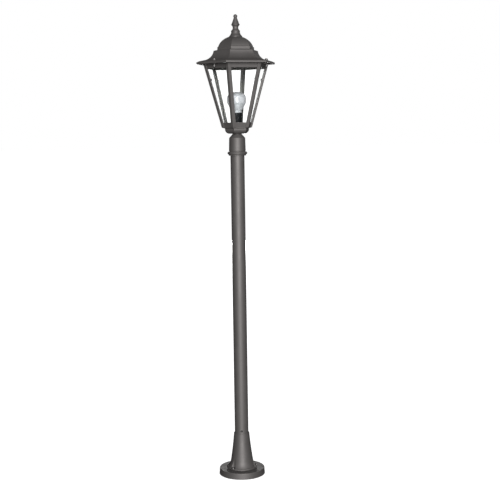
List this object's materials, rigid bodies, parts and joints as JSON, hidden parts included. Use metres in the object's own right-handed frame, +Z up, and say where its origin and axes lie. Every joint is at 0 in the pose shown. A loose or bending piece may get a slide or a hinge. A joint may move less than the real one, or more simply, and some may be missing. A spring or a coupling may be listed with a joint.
{
  "type": "post lantern",
  "caption": "Hexagonal glazed lantern with a domed roof, finial and screw-in lamp, on a round pole with a bell-shaped foot and round base; roof lifts off, lamp comes out.",
  "frame": {"origin": "centre of the base's underside, on the ground", "axes": "+Z up along the pole; -Y out of the lantern's front pane; +X to the right of the front pane, through a post"},
  "size_m": [0.289, 0.2502, 1.6586],
  "materials": {
    "cast_coat": "fine-textured anthracite powder coat on cast aluminium, semi-matte",
    "tube_coat": "fine-textured anthracite powder coat on aluminium tube, semi-matte",
    "pane_glass": "clear float glass",
    "screw_steel": "satin stainless steel",
    "dark_steel": "black-oxide steel",
    "zinc_steel": "zinc-plated steel",
    "grommet_rubber": "matte black rubber",
    "holder_black": "satin black moulded phenolic",
    "thread_shell": "nickel-plated pressed shell",
    "contact_brass": "satin brass",
    "opal_diffuser": "opal white, soft gloss",
    "lamp_white": "white moulded plastic",
    "insulator_black": "black glazed insulator",
    "board_white": "white solder-mask on aluminium",
    "chip_yellow": "phosphor-coated chips",
    "driver_green": "green circuit board"
  },
  "bodies": {
    "stand": {"base_plate": "cast_coat", "foot_cone": "cast_coat", "collar": "cast_coat", "tray": "cast_coat", "bottom_rail": "cast_coat", "top_rail": "cast_coat", "post_1": "cast_coat", "post_2": "cast_coat", "post_3": "cast_coat", "post_4": "cast_coat", "post_5": "cast_coat", "post_6": "cast_coat", "pole_tube": "tube_coat", "pane_1": "pane_glass", "pane_2": "pane_glass", "pane_3": "pane_glass", "pane_4": "pane_glass", "pane_5": "pane_glass", "pane_6": "pane_glass", "foot_screws": "screw_steel", "foot_washers": "screw_steel", "pane_clips": "screw_steel", "lampholder_screws": "screw_steel", "earth_screw": "screw_steel", "pole_screw": "dark_steel", "collar_grub_screws": "dark_steel", "nipple": "zinc_steel", "nipple_nut": "zinc_steel", "cable_grommet": "grommet_rubber", "lampholder_base": "holder_black", "lampholder_shell": "holder_black", "lampholder_insert": "thread_shell", "lampholder_contacts": "contact_brass"},
    "roof": {"roof": "cast_coat", "roof_screws": "screw_steel", "roof_washers": "screw_steel", "finial": "cast_coat", "finial_stud": "zinc_steel", "finial_nut": "zinc_steel"},
    "lamp": {"bulb_diffuser": "opal_diffuser", "bulb_housing": "lamp_white", "bulb_cap": "thread_shell", "bulb_insulator": "insulator_black", "bulb_tip": "contact_brass", "bulb_board": "board_white", "bulb_chips": "chip_yellow", "bulb_driver": "driver_green"}
  },
  "joints": [
    {"name": "roof_lift", "type": "slide", "parent": "stand", "child": "roof", "axis": [0, 0, 1], "range_m": [0, 0.15]},
    {"name": "lamp_withdraw", "type": "slide", "parent": "stand", "child": "lamp", "axis": [0, 0, 1], "range_m": [0, 0.035]}
  ]
}
